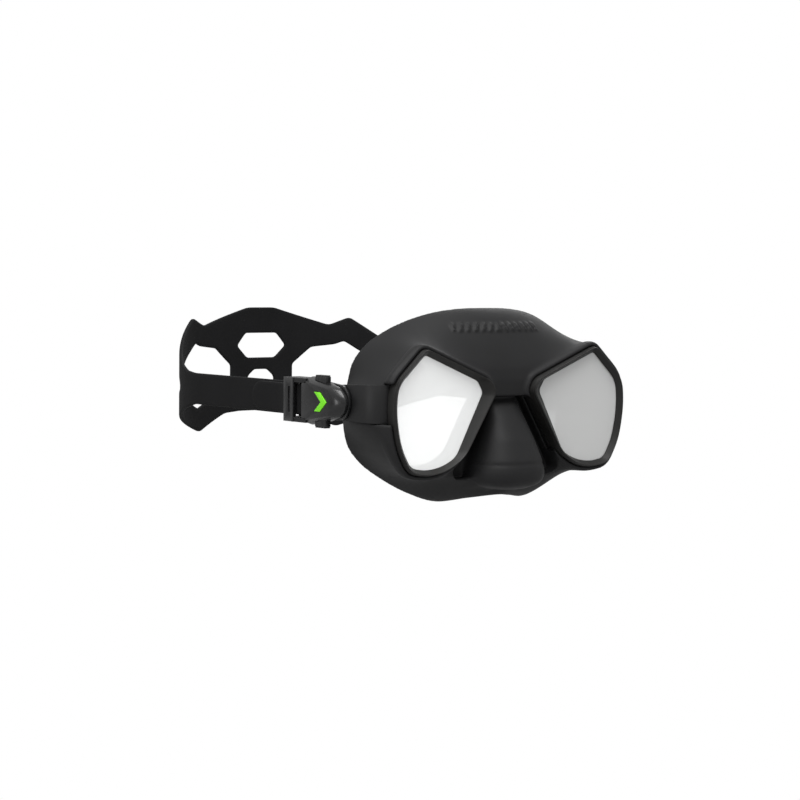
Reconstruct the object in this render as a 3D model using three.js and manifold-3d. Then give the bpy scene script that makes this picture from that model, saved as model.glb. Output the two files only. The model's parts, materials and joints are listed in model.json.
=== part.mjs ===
// Two-window diving mask with a split silicone strap and two swivel buckles.
// Millimetres, +Z up. The mask faces -Y and the wearer's left side is +X.
// Every paired piece is drawn on the wearer's left and mirrored to the right.
// Working depths count from the front face of the glass; the last lines move the whole
// mask so that the face seal lies on the origin.

import * as THREE from 'three';
import { mergeVertices } from 'three/addons/utils/BufferGeometryUtils.js';
import { TessellateModifier } from 'three/addons/modifiers/TessellateModifier.js';
import Module from 'manifold-3d';

const wasm = await Module();
wasm.setup();

// ---------------------------------------------------------------- driving dimensions

const FACE_SEAL_Y = 30;          // mean depth of the seal behind the front of the glass
const GAP = 0.3;                 // air between two pieces that touch

const GLASS_THICKNESS = 3;
const GLASS_MARGIN = 1.0;        // glass hidden under the bezel lip
const BEZEL_WIDTH = 3.4;
const BEZEL_HEIGHT = 3;          // bezel crest in front of the glass
const NOSE_SIDE_RISE = 0.35;     // extra share of that height beside the nose
const NOSE_SIDE_FACTOR = 1.8;    // the bezel limb beside the nose is this much wider
const NOSE_SIDE_TAPER = 2.6;     // and narrower by this at its lower end
const FRAME_THICKNESS = 2.5;
const SKIRT_WALL = 2.3;

const PIVOT = { y: 27.5, z: 0.6 };
const ARM_OUTER_X = 80.2;
const ARM_THICKNESS = 2.3;
const BASE_PLATE = 1.5;
const COVER_TOP_X = 88;
const SWIVEL_PIN_RADIUS = 2.2;

const STRAP_THICKNESS = 2;
const STRAP_HALF_WIDTH = 80;     // of the loop, seen from above
const STRAP_BACK_DEPTH = 68.8;
const STRAP_CORNER_Y = 150;
const STRAP_ROUNDNESS = 2.3;     // superellipse exponent of the back of the loop
const BAND_TOP_Z = 8.7;
const BAND_BOTTOM_Z = -7.4;
const BAND_JOIN_Y = 78;

const ROLLER = { x: 81.5, y: 56.5, radius: 2.6 };
const AXLE_RADIUS = 0.75;
const FOLD_RADIUS = 3.85;        // middle of the strap where it turns round the roller
const TAIL_END_Y = 99.4;

// ---------------------------------------------------------------- solids and meshes

const silicone = new THREE.MeshStandardMaterial({ color: 0x2b2b2d, roughness: 0.62 });
const framePlastic = new THREE.MeshStandardMaterial({ color: 0x242425, roughness: 0.45 });
const bezelPlastic = new THREE.MeshStandardMaterial({ color: 0x30302f, roughness: 0.4 });
const bucklePlastic = new THREE.MeshStandardMaterial({ color: 0x1c1c1e, roughness: 0.3 });
const limePlastic = new THREE.MeshStandardMaterial({ color: 0x8fe01c, roughness: 0.4 });
const steel = new THREE.MeshStandardMaterial({ color: 0xb8bcc0, roughness: 0.25, metalness: 1 });
const glass = new THREE.MeshStandardMaterial({
  color: 0xeef3f4, roughness: 0.05, transparent: true, opacity: 0.35,
});

function indexed(geometry) {
  const bare = geometry.clone();
  bare.deleteAttribute('normal');
  bare.deleteAttribute('uv');
  return mergeVertices(bare, 1e-4);
}

function toManifold(geometry) {
  const merged = indexed(geometry);
  return new wasm.Manifold(new wasm.Mesh({
    numProp: 3,
    vertProperties: new Float32Array(merged.attributes.position.array),
    triVerts: new Uint32Array(merged.index.array),
  }));
}

function fromManifold(solid) {
  const mesh = solid.getMesh();
  const geometry = new THREE.BufferGeometry();
  geometry.setAttribute('position', new THREE.BufferAttribute(mesh.vertProperties, 3));
  geometry.setIndex(new THREE.BufferAttribute(mesh.triVerts, 1));
  return geometry;
}

function join(...parts) {
  return parts.reduce((sum, part) => sum.add(part));
}

function mirrorX(geometry) {
  const copy = indexed(geometry);
  copy.scale(-1, 1, 1);
  const index = copy.index.array;
  for (let i = 0; i < index.length; i += 3) {
    [index[i], index[i + 1]] = [index[i + 1], index[i]];
  }
  return copy;
}

function box(lowX, lowY, lowZ, highX, highY, highZ) {
  const geometry = new THREE.BoxGeometry(highX - lowX, highY - lowY, highZ - lowZ);
  geometry.translate((lowX + highX) / 2, (lowY + highY) / 2, (lowZ + highZ) / 2);
  return toManifold(geometry);
}

function cylinderX(radius, lowX, highX, y, z, segments = 28) {
  const geometry = new THREE.CylinderGeometry(radius, radius, highX - lowX, segments);
  geometry.rotateZ(Math.PI / 2);
  geometry.translate((lowX + highX) / 2, y, z);
  return toManifold(geometry);
}

function cylinderZ(radius, lowZ, highZ, x, y, segments = 24) {
  const geometry = new THREE.CylinderGeometry(radius, radius, highZ - lowZ, segments);
  geometry.rotateX(Math.PI / 2);
  geometry.translate(x, y, (lowZ + highZ) / 2);
  return toManifold(geometry);
}

// A closed solid through closed loops of equal length. The end loops are capped in the
// plane that drops the axis named by `along`.
function loft(loops, along) {
  const count = loops[0].length;
  const positions = loops.flat().flatMap((point) => [point.x, point.y, point.z]);
  const faces = [];
  for (let row = 0; row + 1 < loops.length; row += 1) {
    for (let i = 0; i < count; i += 1) {
      const a = row * count + i;
      const b = row * count + (i + 1) % count;
      faces.push([a, b, b + count], [a, b + count, a + count]);
    }
  }
  const flatten = (point) => {
    const [u, v] = ['x', 'y', 'z'].filter((axis) => axis !== along);
    return new THREE.Vector2(point[u], point[v]);
  };
  const last = (loops.length - 1) * count;
  for (const [start, loop] of [[0, loops[0]], [last, loops[loops.length - 1]]]) {
    const outline = loop.map(flatten);
    const turned = THREE.ShapeUtils.isClockWise(outline);
    const caps = THREE.ShapeUtils.triangulateShape(turned ? outline.slice().reverse() : outline, []);
    for (const cap of caps) {
      const ids = cap.map((i) => start + (turned ? count - 1 - i : i));
      faces.push(ids);
    }
  }
  return toManifold(consistentFaces(positions, faces));
}

// Turns every face the same way round, outwards.
function consistentFaces(positions, faces) {
  const owners = new Map();
  const key = (a, b) => `${a}_${b}`;
  const neighbours = new Map();
  faces.forEach((face, id) => {
    for (let i = 0; i < 3; i += 1) {
      const low = Math.min(face[i], face[(i + 1) % 3]);
      const high = Math.max(face[i], face[(i + 1) % 3]);
      const list = neighbours.get(key(low, high)) ?? [];
      list.push(id);
      neighbours.set(key(low, high), list);
    }
  });
  const queue = [0];
  owners.set(0, true);
  while (queue.length > 0) {
    const face = faces[queue.pop()];
    for (let i = 0; i < 3; i += 1) {
      const from = face[i];
      const to = face[(i + 1) % 3];
      for (const other of neighbours.get(key(Math.min(from, to), Math.max(from, to)))) {
        if (owners.has(other)) {
          continue;
        }
        owners.set(other, true);
        queue.push(other);
        const next = faces[other];
        const same = next.some((v, k) => v === from && next[(k + 1) % 3] === to);
        if (same) {
          next.reverse();
        }
      }
    }
  }
  const corner = (id) => new THREE.Vector3().fromArray(positions, id * 3);
  let volume = 0;
  for (const [a, b, c] of faces) {
    volume += corner(a).dot(corner(b).cross(corner(c)));
  }
  if (volume < 0) {
    faces.forEach((face) => face.reverse());
  }
  const geometry = new THREE.BufferGeometry();
  geometry.setAttribute('position', new THREE.Float32BufferAttribute(positions, 3));
  geometry.setIndex(faces.flat());
  return geometry;
}

// A plate between two depths, from an outline drawn in X and Z.
function plateY(outline, lowY, highY) {
  const at = (y) => outline.map((point) => new THREE.Vector3(point.x, y, point.y));
  return loft([at(lowY), at(highY)], 'y');
}

// A plate between two X planes, from an outline drawn in Y and Z.
function plateX(outline, lowX, highX) {
  const at = (x) => outline.map((point) => new THREE.Vector3(x, point.x, point.y));
  return loft([at(lowX), at(highX)], 'x');
}

// A plate between two heights, from an outline drawn in X and Y.
function plateZ(outline, lowZ, highZ) {
  const at = (z) => outline.map((point) => new THREE.Vector3(point.x, point.y, z));
  return loft([at(lowZ), at(highZ)], 'z');
}

// ---------------------------------------------------------------- outlines

const point = (x, y) => new THREE.Vector2(x, y);

// Corners moved outwards by a distance of each edge's own, for a convex outline that
// runs anticlockwise.
function offsetCorners(corners, distances) {
  const edges = corners.map((corner, i) => {
    const next = corners[(i + 1) % corners.length];
    const along = next.clone().sub(corner).normalize();
    const outward = point(along.y, -along.x).multiplyScalar(distances[i]);
    return { start: corner.clone().add(outward), along };
  });
  return edges.map((edge, i) => {
    const before = edges[(i + edges.length - 1) % edges.length];
    const span = edge.start.clone().sub(before.start);
    const reach = span.cross(edge.along) / before.along.cross(edge.along);
    return before.start.clone().addScaledVector(before.along, reach);
  });
}

// Corners rounded off, all by one radius or each by its own.
function roundedLoop(corners, radii, steps) {
  const loop = [];
  corners.forEach((corner, i) => {
    const before = corners[(i + corners.length - 1) % corners.length];
    const after = corners[(i + 1) % corners.length];
    const radius = Array.isArray(radii) ? radii[i] : radii;
    const trim = (other) => {
      const room = Math.min(radius, corner.distanceTo(other) * 0.45);
      return corner.clone().addScaledVector(other.clone().sub(corner).normalize(), room);
    };
    const curve = new THREE.QuadraticBezierCurve(trim(before), corner, trim(after));
    loop.push(...curve.getPoints(steps));
  });
  return loop;
}

// The window of one eye, on the wearer's left: upper outer corner first, then the
// nose side, the lower edge and the temple side.
const WINDOW_CORNERS = [
  point(52.4, 22.8), point(21.1, 10.1), point(18, 5), point(33.8, -25.1), point(42, -29),
  point(51, -30.4), point(60, -29), point(65.6, -19), point(68.3, -4), point(67.5, 8.5),
];
const NOSE_SIDE_EDGES = [1, 2];
const NOSE_SIDE_FOOT = 3;
const WINDOW_ROUNDINGS = [1.5, 1.2, 1.5, 3.5, 6, 6, 3, 7, 8, 5];

// The window outline moved outwards by an offset, which is wider on the limb beside the
// nose unless that limb's own offset is given. The limb tapers towards its lower end.
function windowLoop(offset, noseOffset = offset * (offset > GLASS_MARGIN ? NOSE_SIDE_FACTOR : 1)) {
  const distances = WINDOW_CORNERS.map((corner, i) => (NOSE_SIDE_EDGES.includes(i) ? noseOffset : offset));
  const corners = offsetCorners(WINDOW_CORNERS, distances);
  const widening = (noseOffset - offset) / (BEZEL_WIDTH * (NOSE_SIDE_FACTOR - 1));
  corners[NOSE_SIDE_FOOT].x += NOSE_SIDE_TAPER * widening;
  return roundedLoop(corners, WINDOW_ROUNDINGS.map((radius) => radius + offset / 2), 3);
}

// What stands in front of the glass rises towards the nose.
function risingY(x, y) {
  const share = Math.min(Math.max((45 - x) / 22, 0), 1);
  return y < -1.2 ? y * (1 + NOSE_SIDE_RISE * share) : y;
}

// A ring round the window. Each corner of its section is an offset, a depth and, where it
// differs, the offset beside the nose.
function windowRing(section) {
  const loops = section.map(([offset, y, noseOffset]) => (
    windowLoop(offset, noseOffset).map((at) => new THREE.Vector3(at.x, risingY(at.x, y), at.y))
  ));
  const count = loops[0].length;
  const positions = loops.flat().flatMap((corner) => [corner.x, corner.y, corner.z]);
  const faces = [];
  loops.forEach((loop, row) => {
    const nextRow = (row + 1) % loops.length;
    for (let i = 0; i < count; i += 1) {
      const j = (i + 1) % count;
      const [a, b] = [row * count + i, row * count + j];
      const [c, d] = [nextRow * count + j, nextRow * count + i];
      faces.push([a, b, c], [a, c, d]);
    }
  });
  return toManifold(consistentFaces(positions, faces));
}

// ---------------------------------------------------------------- lenses and bezels

function makeLens() {
  return fromManifold(plateY(windowLoop(GLASS_MARGIN), 0, GLASS_THICKNESS));
}

// A facet slopes from the glass up to the bezel's crest, and is broad beside the nose.
function makeBezel() {
  const inner = GLASS_MARGIN + 0.4;
  return fromManifold(windowRing([
    [0.5, -GAP],
    [0.5, -0.8],
    [2.5, -BEZEL_HEIGHT, 5],
    [3, -BEZEL_HEIGHT, 5.6],
    [BEZEL_WIDTH, -0.9],
    [BEZEL_WIDTH, GLASS_THICKNESS],
    [inner, GLASS_THICKNESS],
    [inner, -GAP],
  ]));
}

// ---------------------------------------------------------------- frame

const FRAME_FRONT_Y = GLASS_THICKNESS + GAP;
const FRAME_BACK_Y = FRAME_FRONT_Y + FRAME_THICKNESS;

function mirroredManifold(solid) {
  return toManifold(mirrorX(fromManifold(solid)));
}

function frameBridge(clearance) {
  const c = clearance;
  return box(-24, FRAME_FRONT_Y - c, 5.4 - c, 24, FRAME_BACK_Y + c, 9.8 + c);
}

const ARM_INNER = [
  point(ARM_OUTER_X - ARM_THICKNESS, 38), point(ARM_OUTER_X - ARM_THICKNESS, 18),
  point(77.3, 12), point(76.4, 8.6), point(73, FRAME_BACK_Y),
];

// Everything between two plans within the side outline of the arm: a strip with a round
// eye at its rear end.
function armSolid(plan, clearance) {
  const half = 8.3 + clearance;
  const eye = [];
  for (let i = 0; i <= 14; i += 1) {
    const turn = -Math.PI / 2 + (Math.PI * i) / 14;
    eye.push(point(PIVOT.y + half * Math.cos(turn), PIVOT.z + half * Math.sin(turn)));
  }
  const side = [point(0, PIVOT.z - half - 0.8), ...eye, point(0, PIVOT.z + half + 0.8)];
  return plateZ(plan, -20, 20).intersect(plateX(side, 60, 90));
}

// The arm leaves the ring beside the temple, bends back along the skirt and ends in a
// round eye that carries the buckle.
function frameArm() {
  return armSolid([
    point(69.5, FRAME_FRONT_Y), point(72.4, FRAME_FRONT_Y), point(75.2, 4.8), point(77.9, 8),
    point(79, 11), point(ARM_OUTER_X, 17), point(ARM_OUTER_X, 38), ...ARM_INNER,
    point(69.5, FRAME_BACK_Y),
  ], 0);
}

// The notch in the skirt that the arm lies in, open to the outside.
function armNotch() {
  const inner = ARM_INNER.map((corner) => point(corner.x - GAP, corner.y + GAP));
  return armSolid([
    point(69.1, 0), point(90, 0), point(90, 38 + GAP), ...inner, point(69.1, FRAME_BACK_Y + GAP),
  ], GAP);
}

function makeFrame() {
  const ring = windowRing([
    [-0.8, FRAME_FRONT_Y],
    [BEZEL_WIDTH, FRAME_FRONT_Y],
    [BEZEL_WIDTH, FRAME_BACK_Y],
    [-0.8, FRAME_BACK_Y, 3],
  ]);
  const pinHole = cylinderX(SWIVEL_PIN_RADIUS + GAP, 70, 90, PIVOT.y, PIVOT.z);
  const half = join(ring, frameArm()).subtract(pinHole);
  const windows = plateY(windowLoop(-0.8), 0, 10);
  const bridge = frameBridge(0).subtract(windows).subtract(mirroredManifold(windows));
  return fromManifold(join(half, mirroredManifold(half), bridge));
}

// ---------------------------------------------------------------- skirt

// Half outlines from the middle of the forehead to the middle of the upper lip, as
// X, Z and depth: the front edge round both bezels, and the rim that meets the face.
const SKIRT_FRONT = [
  [0, 12, 0.4], [14, 13.6, 0.8], [30, 20, 1.2], [46.5, 26.2, 1.5], [55, 27.6, 1.5],
  [64.4, 20.6, 1.5], [72, 12.6, 1.5], [74.3, 3, 1.5], [74.2, -8, 1.5], [70.8, -21, 1.5],
  [62.8, -32.2, 1.5], [52, -35, 1.5], [41, -34.4, 1.8], [31, -35.6, 3], [17, -37.5, 4], [0, -38, 4],
];
const SKIRT_RIM = [
  [0, 44.9, 22], [16, 44.5, 23], [30, 42.6, 25.4], [42.6, 38.8, 28.9], [52.5, 34, 32.3],
  [60.8, 27.9, 35.5], [66.8, 19.2, 38.3], [69.3, 7, 39.3], [71.3, -8, 39], [69.7, -21.2, 38],
  [64, -29.9, 35.5], [52.6, -38.3, 32.4], [40.7, -44.8, 27.8], [27.5, -48.8, 24.3],
  [13, -47.1, 18], [0, -45.6, 12],
];
const SKIRT_SEGMENTS = 72;
const PROFILE_STEPS = 8;

function closedCurve(half) {
  const right = half.slice(1, -1).reverse().map(([x, z, y]) => [-x, z, y]);
  const points = [...half, ...right].map(([x, z, y]) => new THREE.Vector3(x, y, z));
  return new THREE.CatmullRomCurve3(points, true, 'centripetal');
}

function outward(at) {
  return new THREE.Vector3(at.x / 80 ** 2, 0, (at.z + 2) / 46 ** 2).normalize();
}

const frontCurve = closedCurve(SKIRT_FRONT);
const rimCurve = closedCurve(SKIRT_RIM);

// One closed loop of the skirt wall, `reach` of the way from the front edge to the rim,
// moved inwards by `inset`. The wall bulges at the temples, climbs over brow and cheeks,
// and is dished at the four corners between them.
function skirtLoop(reach, inset) {
  const loop = [];
  for (let i = 0; i < SKIRT_SEGMENTS; i += 1) {
    const front = frontCurve.getPoint(i / SKIRT_SEGMENTS);
    const rim = rimCurve.getPoint(i / SKIRT_SEGMENTS);
    const away = outward(rim);
    const side = away.x ** 4;
    const top = Math.max(away.z, 0) ** 2;
    const bottom = Math.max(-away.z, 0) ** 2;
    const corner = 4 * away.x ** 2 * away.z ** 2;
    const [tuck, dish, delay] = away.z > 0 ? [0.9, 7.5, 5] : [0.8, 6.5, 0];
    const climb = Math.hypot(rim.x - front.x, rim.z - front.z);
    const lift = 6 * side + climb * (0.34 * (top + bottom) - tuck * corner);
    const bulge = 11 * side + 0.5 * top + bottom - dish * corner;
    const first = front.clone().addScaledVector(away, lift);
    first.y += 6 * side + 2.4 * top + 4 * bottom + delay * corner;
    const second = rim.clone().addScaledVector(away, bulge);
    second.y -= 12 * side + 9 * top + 8 * bottom;
    const wall = new THREE.CubicBezierCurve3(front, first, second, rim).getPoint(reach);
    loop.push(wall.addScaledVector(away, -inset));
  }
  return loop;
}

const SEAL_WIDTH = 9;            // of the flange that turns in from the rim to the face
const SEAL_THICKNESS = 1.8;

function movedY(loop, change) {
  return loop.map((corner) => new THREE.Vector3(corner.x, change(corner.y), corner.z));
}

function wallLoops(inset) {
  const loops = [];
  for (let step = 0; step <= PROFILE_STEPS; step += 1) {
    loops.push(skirtLoop(step / PROFILE_STEPS, inset));
  }
  return loops;
}

function skirtOutside() {
  const beyondSeal = movedY(skirtLoop(1, SEAL_WIDTH + 1), (y) => y + 1);
  return loft([...wallLoops(0), beyondSeal], 'y');
}

function skirtInside() {
  const frontY = FRAME_BACK_Y + GAP + SKIRT_WALL;
  const loops = wallLoops(SKIRT_WALL).map((loop, i) => (
    movedY(loop, (y) => Math.max(y, frontY + 0.3 * i))
  ));
  const rim = movedY(loops.pop(), (y) => y - SEAL_THICKNESS);
  const seal = movedY(skirtLoop(1, SEAL_WIDTH), (y) => y - SEAL_THICKNESS);
  const behind = movedY(seal, () => 60);
  return loft([...loops, rim, seal, behind], 'y');
}

// Nose pocket: half width, and depth of its front, at each height.
const NOSE_SECTIONS = [
  [3.6, 7.4, 7.4], [1.6, 8.4, 5.4], [-1, 9.4, 2.6], [-4, 10.2, 0.4], [-8, 11.6, -2.6],
  [-18, 15, -8.4], [-28, 18.6, -12.3], [-33.5, 20, -13.2], [-37.5, 18.8, -12.6], [-40.5, 14, -9.5],
  [-42, 8, -5],
];
const NOSE_BACK_Y = 16;

function noseLoop([z, half, front], inset) {
  const loop = [];
  const width = half - inset;
  const nearY = front + inset;
  for (let i = 0; i <= 16; i += 1) {
    const turn = Math.PI * (i / 16);
    const across = Math.sign(Math.cos(turn)) * Math.abs(Math.cos(turn)) ** 0.8;
    const rise = Math.sin(turn) ** 0.75;
    const y = 8 + (nearY - 8) * rise;
    loop.push(new THREE.Vector3(width * across, y, z));
  }
  loop.push(new THREE.Vector3(-width, NOSE_BACK_Y, z), new THREE.Vector3(width, NOSE_BACK_Y, z));
  return loop;
}

function nosePocket(inset) {
  const sections = NOSE_SECTIONS.map(([z, half, front]) => {
    const lower = z < -30 ? inset : 0;
    return [z + lower, half, front];
  });
  return loft(sections.map((section) => noseLoop(section, inset)), 'z');
}

// The deep bay between the bezels that the nose pocket stands in, on the left half and
// grown outwards by a margin.
const BAY_TOP_Z = 3.2;
const BAY_BACK_Y = 11.5;

function noseBay(margin, lowY, highY) {
  const m = margin;
  const outline = [
    point(-1, BAY_TOP_Z + m), point(11.8 + m, BAY_TOP_Z + m), point(30.4 + m, -27.6),
    point(32.8 + m, -31.6), point(33 + m, -33.6 - m), point(30 + m, -36.2 - m), point(-1, -37 - m),
  ];
  return plateY(roundedLoop(outline, 2.4, 3), lowY, highY);
}

function skirtHalfCuts() {
  const pocket = plateY(windowLoop(BEZEL_WIDTH + GAP), -10, FRAME_BACK_Y + GAP);
  const eye = plateY(windowLoop(-1.2, 3.4), -10, 14);
  return join(pocket, eye, armNotch());
}

function makeSkirt() {
  const outer = skirtOutside();
  const cuts = skirtHalfCuts();
  const bay = noseBay(0, -10, BAY_BACK_Y);
  const bays = join(bay, mirroredManifold(bay));
  const face = outer.subtract(bays);
  const bayWall = noseBay(SKIRT_WALL, 3, BAY_BACK_Y + SKIRT_WALL).intersect(outer);
  const bayWalls = join(bayWall, mirroredManifold(bayWall));
  return fromManifold(
    join(face, nosePocket(0))
      .subtract(skirtInside().subtract(bayWalls))
      .subtract(nosePocket(SKIRT_WALL))
      .subtract(cuts)
      .subtract(mirroredManifold(cuts))
      .subtract(frameBridge(GAP)),
  );
}

// ---------------------------------------------------------------- strap

// Plan of the wearer's left half of the strap, from the middle of the back of the head
// to the buckle, where it turns round the roller and runs back as the free tail.
function backOfLoop() {
  const points = [];
  const steps = 26;
  for (let i = 0; i <= steps; i += 1) {
    const turn = (Math.PI / 2) * (1 - i / steps);
    const x = STRAP_HALF_WIDTH * Math.cos(turn) ** (2 / STRAP_ROUNDNESS);
    const y = STRAP_CORNER_Y + STRAP_BACK_DEPTH * Math.sin(turn) ** (2 / STRAP_ROUNDNESS);
    points.push(point(x, y));
  }
  points.push(point(STRAP_HALF_WIDTH, 130), point(STRAP_HALF_WIDTH, 100));
  points.push(point(STRAP_HALF_WIDTH, BAND_JOIN_Y - 2));
  return new THREE.SplineCurve(points);
}

const bandCurve = backOfLoop();
bandCurve.arcLengthDivisions = 2000;
const BAND_LENGTH = bandCurve.getLength();

// Where the flat strap pattern lies: `u` along the strap from the back of the head,
// `w` out from its middle surface.
function onStrap(u, w, z) {
  const reach = Math.min(Math.abs(u) / BAND_LENGTH, 1);
  const at = bandCurve.getPointAt(reach);
  const along = bandCurve.getTangentAt(reach);
  const side = Math.sign(u) || 1;
  return new THREE.Vector3(side * (at.x + w * -along.y), at.y + w * along.x, z);
}

const mirrorPoints = (half) => half.map(([u, z]) => [-u, z]).reverse();

function strapPattern() {
  const upper = [
    [8.6, 41.1], [42.6, 31.2], [54.4, 35.7], [69.5, 26.2], [80, 19.4], [91, 13], [102, 9.6],
    [112, BAND_TOP_Z], [BAND_LENGTH, BAND_TOP_Z],
  ];
  const lower = [
    [BAND_LENGTH, BAND_BOTTOM_Z], [112, BAND_BOTTOM_Z], [104, -9.4], [94.3, -11.8], [83.2, -15.4],
    [46.8, -26.6], [25.3, -17.4], [14, -16.5],
  ];
  const right = [...upper, ...lower];
  const outline = [...right, ...mirrorPoints(right)];
  const shape = new THREE.Shape(outline.map(([u, z]) => point(u, z)));
  const crown = [[10.4, 26.8], [16.2, 19.8], [9.3, 13.1]];
  const nape = [[4.4, 6.5], [8.8, 2.6], [8.8, -4], [4.4, -8]];
  const flank = [
    [20.5, 9.2], [32, 18.6], [46, 20.1], [51.4, 22], [59.6, 16.9], [88, 1.6], [88, -0.6],
    [60, -9.6], [48.5, -13.8], [41, -10.8], [20.5, -7],
  ];
  const holes = [
    [...crown, ...mirrorPoints(crown)], [...nape, ...mirrorPoints(nape)], flank, mirrorPoints(flank),
  ];
  for (const hole of holes) {
    shape.holes.push(new THREE.Path(hole.map(([u, z]) => point(u, z))));
  }
  return shape;
}

function strapBack() {
  const flat = new THREE.ExtrudeGeometry(strapPattern(), { depth: STRAP_THICKNESS, bevelEnabled: false });
  const squeeze = 0.02;
  const longest = 6;
  flat.translate(0, 0, -STRAP_THICKNESS / 2);
  flat.scale(1, squeeze, squeeze);
  const split = indexed(new TessellateModifier(longest, 60).modify(flat));
  split.scale(1, 1 / squeeze, 1 / squeeze);
  const places = split.attributes.position;
  for (let i = 0; i < places.count; i += 1) {
    const bent = onStrap(places.getX(i), places.getZ(i), places.getY(i));
    places.setXYZ(i, bent.x, bent.y, bent.z);
  }
  return toManifold(consistentFaces([...places.array], facesOf(split)));
}

function facesOf(geometry) {
  const faces = [];
  const index = geometry.index.array;
  for (let i = 0; i < index.length; i += 3) {
    faces.push([index[i], index[i + 1], index[i + 2]]);
  }
  return faces;
}

// The plain end of the strap: to the roller, round its front and back as the tail.
function strapEnd() {
  const inner = ROLLER.x - FOLD_RADIUS;
  const outer = ROLLER.x + FOLD_RADIUS;
  const tailX = STRAP_HALF_WIDTH + STRAP_THICKNESS + 0.4;
  const route = [
    [STRAP_HALF_WIDTH, BAND_JOIN_Y + 4], [STRAP_HALF_WIDTH, BAND_JOIN_Y - 1], [79.7, 73],
    [78.4, 65], [inner, 59], [inner, ROLLER.y],
  ];
  for (let i = 1; i < 10; i += 1) {
    const turn = Math.PI * (i / 10);
    route.push([ROLLER.x - FOLD_RADIUS * Math.cos(turn), ROLLER.y - FOLD_RADIUS * Math.sin(turn)]);
  }
  route.push([outer, ROLLER.y], [outer - 0.1, 59], [84.5, 66], [82.9, 73], [tailX, 79]);
  route.push([tailX, 90], [tailX, TAIL_END_Y - 7]);
  const round = 5;
  for (let i = 1; i <= round; i += 1) {
    route.push([tailX, TAIL_END_Y - 7 + 7 * Math.sin((Math.PI / 2) * (i / round) * 0.98)]);
  }
  const half = STRAP_THICKNESS / 2 - 0.04;
  const middle = (BAND_TOP_Z + BAND_BOTTOM_Z) / 2;
  const loops = route.map(([x, y], i) => {
    const [beforeX, beforeY] = route[Math.max(i - 1, 0)];
    const [afterX, afterY] = route[Math.min(i + 1, route.length - 1)];
    const across = point(afterY - beforeY, beforeX - afterX).normalize().multiplyScalar(half);
    const intoTail = Math.max(0, (y - (TAIL_END_Y - 7)) / 7);
    const onTail = i > route.length / 2;
    const height = onTail ? 7.2 * Math.sqrt(Math.max(1 - intoTail ** 2, 0.01)) : 8;
    return [[1, 1], [1, -1], [-1, -1], [-1, 1]].map(([w, v]) => (
      new THREE.Vector3(x + w * across.x, y + w * across.y, middle + v * height)
    ));
  });
  return loft(loops, 'y');
}

function makeStrap() {
  const end = strapEnd();
  return fromManifold(join(strapBack(), end, mirroredManifold(end)));
}

// ---------------------------------------------------------------- buckle

const BASE_INNER_X = ARM_OUTER_X + 0.4;
const BASE_OUTER_X = BASE_INNER_X + BASE_PLATE;
const CHANNEL_TOP_Z = PIVOT.z + 10.6;
const CHANNEL_BOTTOM_Z = PIVOT.z - 10.6;
const CHANNEL_WALL = 2.2;
const CHANNEL_REAR_Y = 64.5;
const COVER_REAR_Y = 50.5;
const BUTTON = { lowY: 32.4, highY: 41, lowX: BASE_OUTER_X + 0.7, highX: 86, inner: 6.4, outer: 12.5 };
const BUTTON_MIDDLE = { x: (BUTTON.lowX + BUTTON.highX) / 2, y: (BUTTON.lowY + BUTTON.highY) / 2 };
const BOSS_HALF = 1.6;

// Teardrop outline in Y and Z round the swivel pin, straight across at the rear.
function teardrop(tipRadius, rearHalf, rearY, cornerCut) {
  const loop = [];
  const lean = 0.32;
  for (let i = 0; i <= 18; i += 1) {
    const turn = Math.PI / 2 + lean + (Math.PI - 2 * lean) * (i / 18);
    loop.push(point(PIVOT.y + tipRadius * Math.cos(turn), PIVOT.z + tipRadius * Math.sin(turn)));
  }
  loop.push(point(rearY - cornerCut, PIVOT.z - rearHalf), point(rearY, PIVOT.z - rearHalf + cornerCut / 2));
  loop.push(point(rearY, PIVOT.z + rearHalf - cornerCut / 2), point(rearY - cornerCut, PIVOT.z + rearHalf));
  return loop;
}

function makeBuckleBase() {
  const plate = plateX(teardrop(8.6, 10.6, 50.2, 1), BASE_INNER_X, BASE_OUTER_X);
  const wallTop = box(78.6, 46, CHANNEL_TOP_Z - CHANNEL_WALL, COVER_TOP_X, CHANNEL_REAR_Y, CHANNEL_TOP_Z);
  const wallBottom = box(
    78.6, 46, CHANNEL_BOTTOM_Z, COVER_TOP_X, CHANNEL_REAR_Y, CHANNEL_BOTTOM_Z + CHANNEL_WALL,
  );
  const crossBar = join(
    box(86.75, 55.6, CHANNEL_BOTTOM_Z, COVER_TOP_X + 0.1, CHANNEL_REAR_Y, CHANNEL_TOP_Z),
    box(87, 55.6, CHANNEL_BOTTOM_Z, COVER_TOP_X + 0.6, 57.2, CHANNEL_TOP_Z),
  );
  const barSlot = box(87.4, 59, PIVOT.z - 6.2, COVER_TOP_X + 2, 60.8, PIVOT.z + 6.2);
  const boss = box(
    BASE_OUTER_X - 0.5, BUTTON_MIDDLE.y - 2.6, PIVOT.z - BOSS_HALF,
    BUTTON.highX, BUTTON_MIDDLE.y + 2.6, PIVOT.z + BOSS_HALF,
  );
  const axleHole = cylinderZ(AXLE_RADIUS + GAP, -20, 20, ROLLER.x, ROLLER.y);
  const pinHole = cylinderX(SWIVEL_PIN_RADIUS + GAP, 78, 84, PIVOT.y, PIVOT.z);
  return fromManifold(
    join(plate, wallTop, wallBottom, crossBar.subtract(barSlot), boss).subtract(axleHole).subtract(pinHole),
  );
}

// The teardrop at one X plane, pulled in by `front` at its tip and by `side` elsewhere.
function scaledLoop(loop, front, side, x) {
  return loop.map((corner) => {
    const reach = Math.min(Math.max((40 - corner.x) / 22, 0), 1);
    const inwards = corner.x > 45 ? -side * 0.4 : front * reach;
    return new THREE.Vector3(x, corner.x + inwards, PIVOT.z + (corner.y - PIVOT.z) * (1 - side / 12));
  });
}

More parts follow.
